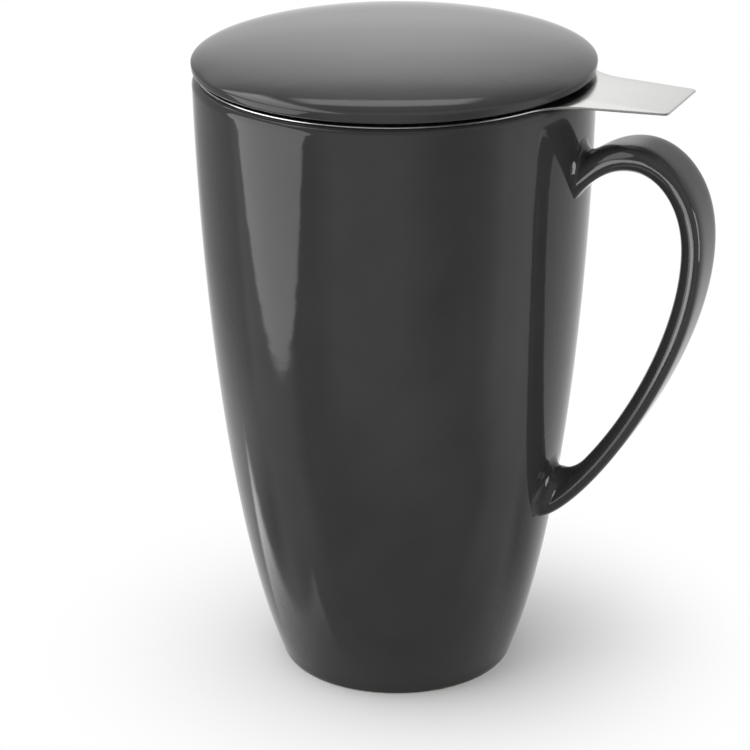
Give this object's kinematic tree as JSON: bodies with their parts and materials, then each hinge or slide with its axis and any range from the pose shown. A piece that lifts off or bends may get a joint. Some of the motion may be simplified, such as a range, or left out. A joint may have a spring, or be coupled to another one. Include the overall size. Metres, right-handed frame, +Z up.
{
  "type": "lidded tea mug with infuser",
  "caption": "Tall tapered porcelain tea mug with a strap handle, a domed lift-off lid and a lift-out perforated steel infuser with a thumb tab.",
  "frame": {"origin": "middle of the foot ring's resting plane, on the mug's axis", "axes": "+Z up along the mug's axis, +X towards the handle and the infuser's thumb tab"},
  "size_m": [0.112, 0.0842, 0.1412],
  "materials": {
    "charcoal_glaze": "glossy charcoal glaze",
    "brushed_steel": "satin stainless steel",
    "perforated_steel": "perforated stainless steel sheet"
  },
  "bodies": {
    "mug": {"mug_body": "charcoal_glaze", "handle": "charcoal_glaze"},
    "infuser": {"infuser_rim": "brushed_steel", "infuser_screen": "perforated_steel", "infuser_floor": "perforated_steel"},
    "lid": {"lid": "charcoal_glaze"}
  },
  "joints": [
    {"name": "infuser_lift", "type": "slide", "parent": "mug", "child": "infuser", "axis": [0, 0, 1], "range_m": [0, 0.09]},
    {"name": "lid_lift", "type": "slide", "parent": "infuser", "child": "lid", "axis": [0, 0, 1], "range_m": [0, 0.05]}
  ]
}
